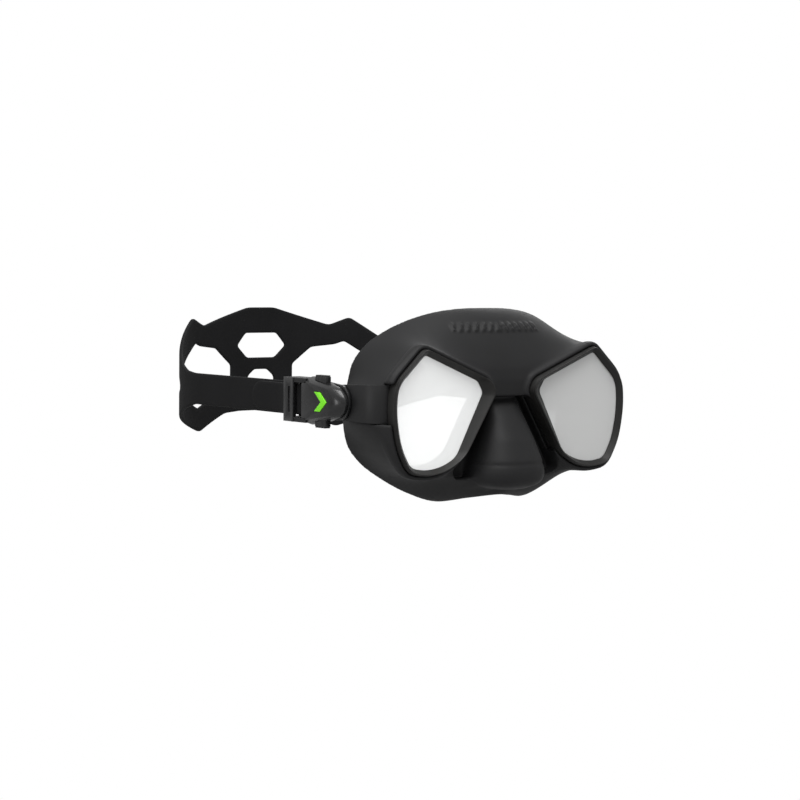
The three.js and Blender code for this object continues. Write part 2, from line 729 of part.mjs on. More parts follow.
function makeBuckleCover() {
  const rim = teardrop(8.9, 10.6, COVER_REAR_Y, 3.2);
  const shell = loft([
    scaledLoop(rim, 0, 0, BASE_OUTER_X + GAP),
    scaledLoop(rim, 0, 0, 84.2),
    scaledLoop(rim, 3.2, 0.9, 86.6),
    scaledLoop(rim, 6, 2.4, COVER_TOP_X),
  ], 'x');
  const inside = loft([
    scaledLoop(rim, 1.3, 1.3, BASE_OUTER_X - 1),
    scaledLoop(rim, 1.3, 1.3, 83.9),
    scaledLoop(rim, 4.6, 2.2, 86.4),
  ], 'x');
  const wallSlots = join(
    box(78, 45.7, CHANNEL_TOP_Z - CHANNEL_WALL - GAP, 90, 60, 20),
    box(78, 45.7, -20, 90, 60, CHANNEL_BOTTOM_Z + CHANNEL_WALL + GAP),
  );
  const windowBox = box(
    BUTTON.lowX - 1, BUTTON.lowY - GAP, -20, BUTTON.highX + GAP, BUTTON.highY + GAP, 20,
  );
  const recess = plateX(badgeOutline(0.25), COVER_TOP_X - 0.6, COVER_TOP_X + 2);
  return fromManifold(shell.subtract(inside).subtract(wallSlots).subtract(windowBox).subtract(recess));
}

// A plain chevron that points to the front of the mask.
function badgeOutline(clearance) {
  const half = 4.6 + clearance;
  const limb = 4.6 + 2 * clearance;
  const tip = 28.6 - clearance;
  const back = 34 - clearance;
  return [
    point(tip, PIVOT.z), point(back, PIVOT.z - half), point(back + limb, PIVOT.z - half),
    point(tip + limb, PIVOT.z), point(back + limb, PIVOT.z + half), point(back, PIVOT.z + half),
  ];
}

function makeBadge() {
  return fromManifold(plateX(badgeOutline(0), COVER_TOP_X - 0.35, COVER_TOP_X + 0.35));
}

// Release button: a block with grip ribs on its outer end, and a wider foot inside the
// cover that stops it from falling out.
function makeButton(direction) {
  const along = (from, to) => [PIVOT.z + direction * from, PIVOT.z + direction * to].sort((a, b) => a - b);
  const [blockLow, blockHigh] = along(BUTTON.inner, BUTTON.outer - 0.7);
  const block = box(BUTTON.lowX, BUTTON.lowY, blockLow, BUTTON.highX, BUTTON.highY, blockHigh);
  const [footLow, footHigh] = along(BUTTON.inner, BUTTON.inner + 1.1);
  const foot = box(BUTTON.lowX, BUTTON.lowY - 0.9, footLow, BUTTON.highX - 0.8, BUTTON.highY + 0.9, footHigh);
  const ribs = [];
  const ribCount = 4;
  const pitch = (BUTTON.highY - BUTTON.lowY) / ribCount;
  for (let i = 0; i < ribCount; i += 1) {
    const y = BUTTON.lowY + (i + 0.2) * pitch;
    const [ribLow, ribHigh] = along(BUTTON.outer - 1, BUTTON.outer);
    ribs.push(box(BUTTON.lowX, y, ribLow, BUTTON.highX, y + 0.6 * pitch, ribHigh));
  }
  return fromManifold(join(block, foot, ...ribs));
}

// Compression spring between the central boss and a button.
function makeSpring(direction) {
  const turns = 4;
  const radius = 1.25;
  const wire = 0.22;
  const start = BOSS_HALF + GAP + wire;
  const end = BUTTON.inner - GAP - wire;
  const perTurn = 10;
  const points = [];
  for (let i = 0; i <= turns * perTurn; i += 1) {
    const turn = (2 * Math.PI * i) / perTurn;
    const z = PIVOT.z + direction * (start + ((end - start) * i) / (turns * perTurn));
    const x = BUTTON_MIDDLE.x + radius * Math.cos(turn);
    points.push(new THREE.Vector3(x, BUTTON_MIDDLE.y + radius * Math.sin(turn), z));
  }
  const section = new THREE.Shape();
  section.absellipse(0, 0, wire, wire, 0, 2 * Math.PI);
  return new THREE.ExtrudeGeometry(section, {
    curveSegments: 3,
    steps: turns * perTurn,
    extrudePath: new THREE.CatmullRomCurve3(points),
  });
}

function makeSwivelPin() {
  const shaft = cylinderX(SWIVEL_PIN_RADIUS, ARM_OUTER_X - ARM_THICKNESS + 0.2, 82.8, PIVOT.y, PIVOT.z);
  const head = cylinderX(3.6, BASE_OUTER_X + GAP, 83.6, PIVOT.y, PIVOT.z);
  return fromManifold(join(shaft, head));
}

function makeRoller() {
  const low = CHANNEL_BOTTOM_Z + CHANNEL_WALL + GAP;
  const high = CHANNEL_TOP_Z - CHANNEL_WALL - GAP;
  const body = cylinderZ(ROLLER.radius, low, high, ROLLER.x, ROLLER.y);
  return fromManifold(body.subtract(cylinderZ(AXLE_RADIUS + GAP, -20, 20, ROLLER.x, ROLLER.y)));
}

function makeRollerAxle() {
  return fromManifold(
    cylinderZ(AXLE_RADIUS, CHANNEL_BOTTOM_Z, CHANNEL_TOP_Z, ROLLER.x, ROLLER.y, 16),
  );
}

// ---------------------------------------------------------------- assembly

const mask = new THREE.Group();
mask.position.y = -FACE_SEAL_Y;

function addPiece(name, geometry, material) {
  const mesh = new THREE.Mesh(geometry, material);
  mesh.name = name;
  mask.add(mesh);
}

function addPair(name, geometry, material) {
  addPiece(`left_${name}`, geometry, material);
  addPiece(`right_${name}`, mirrorX(geometry), material);
}

addPiece('skirt', makeSkirt(), silicone);
addPiece('mask_frame', makeFrame(), framePlastic);
addPair('lens', makeLens(), glass);
addPair('bezel', makeBezel(), bezelPlastic);
addPiece('strap', makeStrap(), silicone);
addPair('swivel_pin', makeSwivelPin(), steel);
addPair('buckle_base', makeBuckleBase(), bucklePlastic);
addPair('buckle_cover', makeBuckleCover(), bucklePlastic);
addPair('badge', makeBadge(), limePlastic);
addPair('upper_button', makeButton(1), bucklePlastic);
addPair('lower_button', makeButton(-1), bucklePlastic);
addPair('upper_spring', makeSpring(1), steel);
addPair('lower_spring', makeSpring(-1), steel);
addPair('strap_roller', makeRoller(), bucklePlastic);
addPair('roller_axle', makeRollerAxle(), steel);

export default mask;
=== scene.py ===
import itertools
import json
import math

import bmesh
import bpy
import numpy as np
from mathutils import Matrix, Vector


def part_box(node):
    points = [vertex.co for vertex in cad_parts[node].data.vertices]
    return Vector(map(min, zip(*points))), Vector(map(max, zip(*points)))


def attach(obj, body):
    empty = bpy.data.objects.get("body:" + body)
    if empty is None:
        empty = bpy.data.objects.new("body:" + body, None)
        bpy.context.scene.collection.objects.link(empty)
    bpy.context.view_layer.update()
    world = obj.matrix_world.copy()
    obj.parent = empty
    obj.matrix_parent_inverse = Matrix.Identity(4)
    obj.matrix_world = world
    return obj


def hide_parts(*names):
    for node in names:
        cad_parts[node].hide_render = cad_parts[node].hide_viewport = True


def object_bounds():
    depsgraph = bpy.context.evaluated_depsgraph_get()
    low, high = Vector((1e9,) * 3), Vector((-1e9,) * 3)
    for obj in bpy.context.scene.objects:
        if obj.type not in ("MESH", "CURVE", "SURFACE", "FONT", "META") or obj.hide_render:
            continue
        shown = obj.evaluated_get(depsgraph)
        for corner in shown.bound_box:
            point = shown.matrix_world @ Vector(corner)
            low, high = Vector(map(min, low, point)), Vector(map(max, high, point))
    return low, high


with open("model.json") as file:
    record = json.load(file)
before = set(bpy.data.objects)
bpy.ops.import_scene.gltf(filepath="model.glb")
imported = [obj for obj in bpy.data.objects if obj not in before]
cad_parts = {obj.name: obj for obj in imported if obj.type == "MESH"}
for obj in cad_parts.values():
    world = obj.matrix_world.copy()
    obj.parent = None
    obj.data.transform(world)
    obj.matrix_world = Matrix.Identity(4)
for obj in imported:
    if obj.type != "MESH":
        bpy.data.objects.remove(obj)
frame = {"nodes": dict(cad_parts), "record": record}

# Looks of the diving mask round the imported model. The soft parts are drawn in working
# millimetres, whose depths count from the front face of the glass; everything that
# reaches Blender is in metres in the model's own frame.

CAD_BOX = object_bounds()
MM = 0.001
FACE_SEAL_Y = 30.0          # the frame's origin lies this far behind the glass
GLASS_FRONT = round(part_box("left_lens")[0].y / MM, 3)
assert abs(GLASS_FRONT + FACE_SEAL_Y) < 0.01, "the glass isn't where the working depths start"


def to_metres(points):
    """Working millimetres to metres in the model's frame."""
    return (np.asarray(points, float) - (0.0, FACE_SEAL_Y, 0.0)) * MM


# ---------------------------------------------------------------- camera, light and floor

def make_camera():
    azimuth, elevation, roll = (math.radians(a) for a in (-37.0, 3.43474, 0.55919))
    back = Vector((math.sin(azimuth) * math.cos(elevation),
                   -math.cos(azimuth) * math.cos(elevation), math.sin(elevation)))
    level = Vector((math.cos(azimuth), math.sin(azimuth), 0.0))
    upright = back.cross(level)
    right = level * math.cos(roll) + upright * math.sin(roll)
    up = upright * math.cos(roll) - level * math.sin(roll)
    camera = bpy.data.objects.new("camera", bpy.data.cameras.new("camera"))
    bpy.context.scene.collection.objects.link(camera)
    turned = Matrix((right, up, back)).transposed().to_4x4()
    camera.matrix_world = Matrix.Translation((-0.678612, -0.842256, 0.063820)) @ turned
    camera.data.sensor_width = 36.0
    camera.data.lens = 99.0
    camera.data.clip_start = 0.05
    bpy.context.scene.camera = camera


def area_light(name, place, aim, size, power):
    light = bpy.data.objects.new(name, bpy.data.lights.new(name, "AREA"))
    light.data.shape = "RECTANGLE"
    light.data.size, light.data.size_y = size
    light.data.energy = power
    light.location = place
    direction = Vector(aim) - Vector(place)
    light.rotation_euler = direction.to_track_quat("-Z", "Y").to_euler()
    bpy.context.scene.collection.objects.link(light)


SKY = {"overhead": 0.95, "horizon": 0.5, "below": 0.2}


def make_studio():
    """White paper for the camera. The light itself falls mostly from above, so that the
    dark parts keep their shadows."""
    world = bpy.data.worlds.new("studio")
    bpy.context.scene.world = world
    world.use_nodes = True
    tree = world.node_tree
    lit = tree.nodes["Background"]
    direction = tree.nodes.new("ShaderNodeTexCoord").outputs["Generated"]
    parts = tree.nodes.new("ShaderNodeSeparateXYZ")
    tree.links.new(direction, parts.inputs["Vector"])
    fall = tree.nodes.new("ShaderNodeFloatCurve")
    curve = fall.mapping.curves[0]
    curve.points[0].location = (0.0, SKY["below"])
    curve.points[1].location = (1.0, SKY["overhead"])
    curve.points.new(0.5, SKY["horizon"])
    fall.mapping.update()
    half = tree.nodes.new("ShaderNodeMapRange")
    half.inputs["From Min"].default_value = -1.0
    tree.links.new(parts.outputs["Z"], half.inputs["Value"])
    tree.links.new(half.outputs["Result"], fall.inputs["Value"])
    tree.links.new(fall.outputs["Value"], lit.inputs["Strength"])
    lit.inputs["Color"].default_value = (1.0, 1.0, 1.0, 1.0)
    paper_white = tree.nodes.new("ShaderNodeBackground")
    paper_white.inputs["Color"].default_value = (1.0, 1.0, 1.0, 1.0)
    seen = tree.nodes.new("ShaderNodeLightPath").outputs["Is Camera Ray"]
    mix = tree.nodes.new("ShaderNodeMixShader")
    tree.links.new(seen, mix.inputs["Fac"])
    tree.links.new(lit.outputs["Background"], mix.inputs[1])
    tree.links.new(paper_white.outputs["Background"], mix.inputs[2])
    tree.links.new(mix.outputs["Shader"], tree.nodes["World Output"].inputs["Surface"])
    area_light("key", (-0.3, -0.35, 0.9), (0.0, 0.0, 0.0), (0.6, 0.6), 9.0)
    area_light("side", (-0.8, -0.06, 0.04), (0.0, 0.0, 0.0), (0.2, 0.3), 0.75)
    area_light("rim", (0.7, 0.5, 0.6), (0.0, 0.05, 0.0), (0.4, 0.4), 2.0)
    make_floor()


def make_floor():
    floor_mesh = bpy.data.meshes.new("floor")
    reach = 6.0
    height = CAD_BOX[0][2] - 0.06
    corners = [(-reach, -reach), (reach, -reach), (reach, reach), (-reach, reach)]
    floor_mesh.from_pydata([(x, y, height) for x, y in corners], [], [(0, 1, 2, 3)])
    floor = bpy.data.objects.new("floor", floor_mesh)
    bpy.context.scene.collection.objects.link(floor)
    paper = bpy.data.materials.new("paper")
    paper.use_nodes = True
    tree = paper.node_tree
    matte = tree.nodes["Principled BSDF"]
    matte.inputs["Base Color"].default_value = (0.4, 0.4, 0.4, 1.0)
    matte.inputs["Roughness"].default_value = 1.0
    matte.inputs["Specular IOR Level"].default_value = 0.0
    white = tree.nodes.new("ShaderNodeEmission")
    seen = tree.nodes.new("ShaderNodeLightPath").outputs["Is Camera Ray"]
    mix = tree.nodes.new("ShaderNodeMixShader")
    tree.links.new(seen, mix.inputs["Fac"])
    tree.links.new(matte.outputs["BSDF"], mix.inputs[1])
    tree.links.new(white.outputs["Emission"], mix.inputs[2])
    tree.links.new(mix.outputs["Shader"], tree.nodes["Material Output"].inputs["Surface"])
    floor_mesh.materials.append(paper)
    bpy.context.scene.view_settings.view_transform = "Standard"


make_camera()
make_studio()


# ---------------------------------------------------------------- materials

def grain(tree, scale, detail, coordinates):
    noise = tree.nodes.new("ShaderNodeTexNoise")
    noise.inputs["Scale"].default_value = scale
    noise.inputs["Detail"].default_value = detail
    tree.links.new(coordinates, noise.inputs["Vector"])
    return noise.outputs["Fac"]


def spread(tree, value, low, high):
    ramp = tree.nodes.new("ShaderNodeMapRange")
    ramp.inputs["From Min"].default_value = 0.3
    ramp.inputs["From Max"].default_value = 0.7
    ramp.inputs["To Min"].default_value = low
    ramp.inputs["To Max"].default_value = high
    tree.links.new(value, ramp.inputs["Value"])
    return ramp.outputs["Result"]


def moulded(name, colour, roughness, specular, fine=2600.0, depth=0.00003, coat=0.0, metallic=0.0):
    """Moulded rubber or plastic: a fine grain in the surface, slow patches in its sheen,
    and a slight mottle in its colour."""
    material = bpy.data.materials.new(name)
    material.use_nodes = True
    tree = material.node_tree
    shader = tree.nodes["Principled BSDF"]
    place = tree.nodes.new("ShaderNodeTexCoord").outputs["Object"]
    patches = grain(tree, 45.0, 3.0, place)
    skin = grain(tree, fine, 2.0, place)
    low, high = (tuple(c * k for c in colour) + (1.0,) for k in (0.85, 1.18))
    colour_blend = tree.nodes.new("ShaderNodeMix")
    colour_blend.data_type = "RGBA"
    colour_blend.inputs["A"].default_value = low
    colour_blend.inputs["B"].default_value = high
    tree.links.new(spread(tree, patches, 0.0, 1.0), colour_blend.inputs["Factor"])
    tree.links.new(colour_blend.outputs["Result"], shader.inputs["Base Color"])
    sheen = spread(tree, patches, roughness - 0.04, roughness + 0.05)
    tree.links.new(sheen, shader.inputs["Roughness"])
    bump = tree.nodes.new("ShaderNodeBump")
    bump.inputs["Strength"].default_value = 0.35
    bump.inputs["Distance"].default_value = depth
    tree.links.new(skin, bump.inputs["Height"])
    tree.links.new(bump.outputs["Normal"], shader.inputs["Normal"])
    shader.inputs["Specular IOR Level"].default_value = specular
    shader.inputs["Coat Weight"].default_value = coat
    shader.inputs["Coat Roughness"].default_value = 0.12
    shader.inputs["Metallic"].default_value = metallic
    return material


def make_glass():
    """Tempered glass with painted reflection: its white base colour and a faint white emission paint in the
    white studio it returns, and it lets some of the dark through.
    The painted reflection is greyer, and its painted glow weaker, on the wearer's left lens."""
    material = bpy.data.materials.new("glass_painted_reflection")
    material.use_nodes = True
    tree = material.node_tree
    shader = tree.nodes["Principled BSDF"]
    place = tree.nodes.new("ShaderNodeTexCoord").outputs["Object"]
    haze = grain(tree, 12.0, 1.0, place)
    tree.links.new(spread(tree, haze, 0.03, 0.08), shader.inputs["Roughness"])
    parts = tree.nodes.new("ShaderNodeSeparateXYZ")
    tree.links.new(place, parts.inputs["Vector"])
    side = tree.nodes.new("ShaderNodeMapRange")
    side.inputs["From Min"].default_value = -0.015
    side.inputs["From Max"].default_value = 0.015
    tree.links.new(parts.outputs["X"], side.inputs["Value"])
    left = side.outputs["Result"]
    # painted reflection: a near-white base colour on the wearer's right lens and a grey one on the left lens,
    # with alpha also set by side
    colour_blend = tree.nodes.new("ShaderNodeMix")
    colour_blend.data_type = "RGBA"
    colour_blend.inputs["A"].default_value = (0.97, 0.98, 0.975, 1.0)
    colour_blend.inputs["B"].default_value = (0.66, 0.665, 0.66, 1.0)
    tree.links.new(left, colour_blend.inputs["Factor"])
    tree.links.new(colour_blend.outputs["Result"], shader.inputs["Base Color"])
    # painted glow: the glass emits white light though it is no lamp, more strongly on the wearer's right lens
    shader.inputs["Emission Color"].default_value = (1.0, 1.0, 1.0, 1.0)
    tree.links.new(spread(tree, left, 0.2, 0.04), shader.inputs["Emission Strength"])
    tree.links.new(spread(tree, left, 0.6, 0.74), shader.inputs["Alpha"])
    shader.inputs["Specular IOR Level"].default_value = 0.6
    return material


silicone = moulded("satin_silicone", (0.0105, 0.0105, 0.011), 0.6, 0.26)
strap_silicone = moulded("matte_silicone", (0.0085, 0.0085, 0.009), 0.72, 0.12, fine=2100.0)
frame_plastic = moulded("frame_plastic", (0.009, 0.009, 0.0095), 0.45, 0.3, fine=3200.0)
bezel_plastic = moulded("bezel_plastic", (0.0125, 0.0122, 0.0115), 0.5, 0.3, fine=3600.0, depth=0.00002)
buckle_plastic = moulded("buckle_plastic", (0.0075, 0.0075, 0.008), 0.26, 0.4, fine=1500.0, depth=0.00001,
                         coat=0.2)
lime_plastic = moulded("lime_plastic", (0.19, 0.75, 0.012), 0.35, 0.5, fine=1800.0, depth=0.00001)
spring_steel = moulded("spring_steel", (0.58, 0.59, 0.6), 0.22, 0.5, fine=900.0, depth=0.00001, metallic=1.0)
# glass with painted reflection and painted glow
glass_painted_reflection = make_glass()


# ---------------------------------------------------------------- mesh helpers

def add_object(name, points, faces, material, body, replaced, angle=None):
    """A new piece from working millimetres that rides on a body and takes the given material."""
    mesh = bpy.data.meshes.new(name)
    mesh.from_pydata(to_metres(points).tolist(), [], faces)
    mesh.validate()
    mesh.materials.append(material)
    mesh.shade_smooth()
    if angle is not None:
        mesh.set_sharp_from_angle(angle=math.radians(angle))
    piece = bpy.data.objects.new(name, mesh)
    bpy.context.scene.collection.objects.link(piece)
    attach(piece, body)
    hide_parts(*replaced)


def surface_nets(field, low, step):
    """Points and quads of the surface where a sampled field passes zero; below zero is
    inside. Each cell that the surface crosses gets one point, the mean of its crossings."""
    low, step = np.asarray(low, float), np.asarray(step, float)
    inside = field < 0
    size = np.array(field.shape) - 1
    corners = list(itertools.product((0, 1), repeat=3))
    count = sum(inside[i:i + size[0], j:j + size[1], k:k + size[2]].astype(np.uint8) for i, j, k in corners)
    active = (count > 0) & (count < 8)
    cells = np.argwhere(active)
    ids = np.full(active.shape, -1, np.int64)
    ids[active] = np.arange(len(cells))
    total = np.zeros((len(cells), 3))
    hits = np.zeros((len(cells), 1))
    for start, end in itertools.combinations(corners, 2):
        if sum(abs(a - b) for a, b in zip(start, end)) != 1:
            continue
        a = field[tuple((cells + start).T)]
        b = field[tuple((cells + end).T)]
        crossed = (a < 0) != (b < 0)
        share = np.where(crossed, a / np.where(crossed, a - b, 1.0), 0.0)[:, None]
        spot = np.array(start) + share * (np.array(end) - np.array(start))
        total += np.where(crossed[:, None], spot, 0.0)
        hits += crossed[:, None]
    points = (cells + total / hits) * step + low
    quads = []
    for axis in range(3):
        u, v = (axis + 1) % 3, (axis + 2) % 3
        first = np.moveaxis(inside, axis, 0)[:-1]
        second = np.moveaxis(inside, axis, 0)[1:]
        edges = np.argwhere(np.moveaxis(first != second, 0, axis))
        edges = edges[(edges[:, u] > 0) & (edges[:, v] > 0)]
        edges = edges[(edges[:, u] < size[u]) & (edges[:, v] < size[v])]
        du, dv = np.eye(3, dtype=int)[u], np.eye(3, dtype=int)[v]
        ring = [ids[tuple((edges - shift).T)] for shift in (0 * du, du, du + dv, dv)]
        faces = np.stack(ring, 1)
        outward = inside[tuple(edges.T)]
        faces[~outward] = faces[~outward][:, ::-1]
        quads.append(faces)
    return points, np.concatenate(quads)


def smooth_min(a, b, k):
    blend = np.clip(0.5 + 0.5 * (b - a) / k, 0, 1)
    return b + (a - b) * blend - k * blend * (1 - blend)


def smooth_max(a, b, k):
    return -smooth_min(-a, -b, k)


def polygon_distance(loop, u, v):
    """Signed distance from the points (u, v) to a closed polygon, below zero inside."""
    loop = np.asarray(loop, float)
    nearest = np.full(u.shape, np.inf)
    crossings = np.zeros(u.shape, bool)
    for (ax, ay), (bx, by) in zip(loop, np.roll(loop, -1, axis=0)):
        ex, ey = bx - ax, by - ay
        along = np.clip(((u - ax) * ex + (v - ay) * ey) / max(ex * ex + ey * ey, 1e-12), 0, 1)
        nearest = np.minimum(nearest, (u - ax - along * ex) ** 2 + (v - ay - along * ey) ** 2)
        if ay != by:
            spans = (ay > v) != (by > v)
            crossings ^= spans & (u < ex * (v - ay) / ey + ax)
    return np.where(crossings, -1, 1) * np.sqrt(nearest)


# ---------------------------------------------------------------- window outline

WINDOW_CORNERS = np.array([
    (52.4, 22.8), (21.1, 10.1), (18, 5), (33.8, -25.1), (42, -29),
    (51, -30.4), (60, -29), (65.6, -19), (68.3, -4), (67.5, 8.5),
])
NOSE_SIDE_EDGES = [1, 2]
NOSE_SIDE_FOOT = 3
NOSE_SIDE_FACTOR = 1.8      # the rim beside the nose is this much wider
NOSE_SIDE_TAPER = 2.6       # and narrower by this at its lower end
NOSE_SIDE_RISE = 0.35       # extra share of the crest's height beside the nose
GLASS_MARGIN = 1.0          # glass hidden under the bezel
GLASS_THICKNESS = 3.0
WINDOW_ROUNDINGS = np.array([1.5, 1.2, 1.5, 3.5, 6, 6, 3, 7, 8, 5])
BEZEL_WIDTH = 3.4
BEZEL_CREST = 3.0           # in front of the glass
BEZEL_GAP = 0.4             # between the glass's edge and the bezel


def rounded_loop(corners, radii, steps):
    loop = []
    radii = np.broadcast_to(radii, len(corners))
    neighbours = zip(np.roll(corners, 1, axis=0), corners, np.roll(corners, -1, axis=0), radii)
    for before, corner, after, radius in neighbours:
        ends = []
        for other in (before, after):
            span = np.linalg.norm(other - corner)
            ends.append(corner + (other - corner) / span * min(radius, 0.45 * span))
        for t in np.linspace(0, 1, steps + 1):
            loop.append((1 - t) ** 2 * ends[0] + 2 * t * (1 - t) * corner + t * t * ends[1])
    return np.array(loop)


def window_loop(offset, nose_offset=None, steps=8):
    """The window of the wearer's left eye in X and Z, moved outwards by an offset."""
    if nose_offset is None:
        nose_offset = offset * (NOSE_SIDE_FACTOR if offset > GLASS_MARGIN else 1)
    corners = WINDOW_CORNERS
    following = np.roll(corners, -1, axis=0)
    along = (following - corners) / np.linalg.norm(following - corners, axis=1)[:, None]
    shift = np.full(len(corners), float(offset))
    shift[NOSE_SIDE_EDGES] = nose_offset
    start = corners + np.stack([along[:, 1], -along[:, 0]], 1) * shift[:, None]
    moved = []
    for i in range(len(corners)):
        a, b = along[i - 1], along[i]
        span = start[i] - start[i - 1]
        reach = (span[0] * b[1] - span[1] * b[0]) / (a[0] * b[1] - a[1] * b[0])
        moved.append(start[i - 1] + a * reach)
    widening = (nose_offset - offset) / (BEZEL_WIDTH * (NOSE_SIDE_FACTOR - 1))
    moved[NOSE_SIDE_FOOT] = moved[NOSE_SIDE_FOOT] + (NOSE_SIDE_TAPER * widening, 0.0)
    return rounded_loop(np.array(moved), WINDOW_ROUNDINGS + offset / 2, steps)


def rising_depth(x, y):
    """What stands in front of the glass rises towards the nose."""
    share = np.clip((45 - x) / 22, 0, 1)
    return y * (1 + NOSE_SIDE_RISE * share) if y < -1.2 else np.full(len(x), y)


def window_ring(name, section, replaced, side):
    """A closed ring round one window, from a section of offset, depth and, where it
    differs, the offset beside the nose."""
    rows = []
    for corner in section:
        loop = window_loop(corner[0], corner[2] if len(corner) > 2 else None)
        rows.append(np.stack([side * loop[:, 0], rising_depth(loop[:, 0], corner[1]), loop[:, 1]], 1))
    count = len(rows[0])
    faces = []
    for row in range(len(rows)):
        for i in range(count):
            a, b = row * count + i, row * count + (i + 1) % count
            c, d = ((row + 1) % len(rows)) * count + (i + 1) % count, ((row + 1) % len(rows)) * count + i
            faces.append((a, b, c, d) if side > 0 else (d, c, b, a))
    add_object(name, np.concatenate(rows), faces, bezel_plastic, "mask",
               [replaced], angle=28)


def make_bezel(side_name, side):
    inner = GLASS_MARGIN + BEZEL_GAP
    outer = NOSE_SIDE_FACTOR * BEZEL_WIDTH
    section = [
        (0.5, -0.3, 0.5), (0.5, -0.7, 0.5), (0.6, -0.86, 0.8), (2.35, -2.75, 4.6), (2.5, -2.92, 4.9),
        (2.62, -BEZEL_CREST, 5.1), (2.8, -BEZEL_CREST, 5.5), (2.94, -2.9, 5.7), (3.02, -2.6, 5.8),
        (3.02, -2.2, 5.8), (3.12, -2.1, 5.84), (3.22, -2.05, 5.9), (3.26, -1.8, 5.94), (3.26, -1.35, 5.94),
        (3.34, -1.25, 5.98), (3.38, -1.2, 6.06), (BEZEL_WIDTH, -0.9, outer),
        (BEZEL_WIDTH, GLASS_THICKNESS, outer), (inner, GLASS_THICKNESS), (inner, -0.3),
    ]
    window_ring(f"{side_name}_bezel_rim", section, f"{side_name}_bezel", side)


def make_lens(side_name, side):
    chamfer = 0.35
    levels = [(GLASS_MARGIN - chamfer, 0.0), (GLASS_MARGIN, chamfer),
              (GLASS_MARGIN, GLASS_THICKNESS - chamfer), (GLASS_MARGIN - chamfer, GLASS_THICKNESS)]
    rows = []
    for offset, y in levels:
        loop = window_loop(offset)
        rows.append(np.stack([side * loop[:, 0], np.full(len(loop), y), loop[:, 1]], 1))
    count = len(rows[0])
    faces = []
    for row in range(len(rows) - 1):
        for i in range(count):
            j = (i + 1) % count
            quad = (row * count + i, row * count + j, (row + 1) * count + j, (row + 1) * count + i)
            faces.append(quad if side > 0 else quad[::-1])
    front = tuple(range(count))
    back = tuple(range(3 * count, 4 * count))
    faces += [front[::-1], back] if side > 0 else [front, back[::-1]]
    add_object(f"{side_name}_glass", np.concatenate(rows), faces, glass_painted_reflection, "mask",
               [f"{side_name}_lens"], angle=20)


for side_name, side in (("left", 1), ("right", -1)):
    make_bezel(side_name, side)
    make_lens(side_name, side)


# ---------------------------------------------------------------- skirt

SKIRT_WALL = 2.3
SEAL_WIDTH = 9.0
SEAL_THICKNESS = 1.8
HOLLOW_FRONT_Y = 8.4
LIP_WIDTH = 1.9             # of the lip round each bezel
LIP_FRONT_Y = -0.6
SKIRT_STEP = 0.75

# Half outlines from the middle of the forehead to the middle of the upper lip, as
# X, Z and depth: the front edge round both bezels, and the rim that meets the face.
SKIRT_FRONT = [
    (0, 12, 0.4), (14, 13.6, 0.8), (30, 20, 1.2), (46.5, 26.2, 1.5), (55, 27.6, 1.5),
    (64.4, 20.6, 1.5), (72, 12.6, 1.5), (74.3, 3, 1.5), (74.2, -8, 1.5), (70.8, -21, 1.5),
    (62.8, -32.2, 1.5), (52, -35, 1.5), (41, -34.4, 1.8), (31, -35.6, 3), (17, -37.5, 4), (0, -38, 4),
]
SKIRT_RIM = [
    (0, 44.9, 22), (16, 44.5, 23), (30, 42.6, 25.4), (42.6, 38.8, 28.9), (52.5, 34, 32.3),
    (60.8, 27.9, 35.5), (66.8, 19.2, 38.3), (69.3, 7, 39.3), (71.3, -8, 39), (69.7, -21.2, 38),
    (64, -29.9, 35.5), (52.6, -38.3, 32.4), (40.7, -44.8, 27.8), (27.5, -48.8, 24.3),
    (13, -47.1, 18), (0, -45.6, 12),
]


def closed_curve(half, count):
    """A closed centripetal Catmull-Rom curve through a half outline and its mirror image."""
    mirrored = [(-x, z, y) for x, z, y in reversed(half[1:-1])]
    knots = np.array([(x, y, z) for x, z, y in [*half, *mirrored]], float)
    total = len(knots)
    place = np.arange(count) / count * total
    index = np.floor(place).astype(int)
    t = (place - index)[:, None]
    p0, p1, p2, p3 = (knots[(index + shift) % total] for shift in (-1, 0, 1, 2))

    def knot_gap(a, b):
        return (((a - b) ** 2).sum(1) ** 0.25)[:, None]

    d0, d1, d2 = knot_gap(p0, p1), knot_gap(p1, p2), knot_gap(p2, p3)
    m1 = ((p1 - p0) / d0 - (p2 - p0) / (d0 + d1) + (p2 - p1) / d1) * d1
    m2 = ((p2 - p1) / d1 - (p3 - p1) / (d1 + d2) + (p3 - p2) / d2) * d1
    return p1 + m1 * t + (3 * (p2 - p1) - 2 * m1 - m2) * t ** 2 + (2 * (p1 - p2) + m1 + m2) * t ** 3


def skirt_wall(around=720, along=64):
    """Rows of points of the outer wall, from its front edge to the rim."""
    front = closed_curve(SKIRT_FRONT, around)
    rim = closed_curve(SKIRT_RIM, around)
    away = np.stack([rim[:, 0] / 80 ** 2, 0 * rim[:, 0], (rim[:, 2] + 2) / 46 ** 2], 1)
    away /= np.linalg.norm(away, axis=1)[:, None]
    side = away[:, 0] ** 4
    top = np.maximum(away[:, 2], 0) ** 2
    bottom = np.maximum(-away[:, 2], 0) ** 2
    corner = 4 * away[:, 0] ** 2 * away[:, 2] ** 2
    upper = away[:, 2] > 0
    tuck, dish, delay = np.where(upper, 0.9, 0.8), np.where(upper, 7.5, 6.5), np.where(upper, 5, 0)
    climb = np.hypot(rim[:, 0] - front[:, 0], rim[:, 2] - front[:, 2])
    lift = 6 * side + climb * (0.34 * (top + bottom) - tuck * corner)
    bulge = 11 * side + 0.5 * top + bottom - dish * corner
    first = front + away * lift[:, None]
    first[:, 1] += 6 * side + 2.4 * top + 4 * bottom + delay * corner
    second = rim + away * bulge[:, None]
    second[:, 1] -= 12 * side + 9 * top + 8 * bottom
    t = np.linspace(0, 1, along + 1)[:, None, None]
    return front * (1 - t) ** 3 + 3 * first * t * (1 - t) ** 2 + 3 * second * t * t * (1 - t) + rim * t ** 3


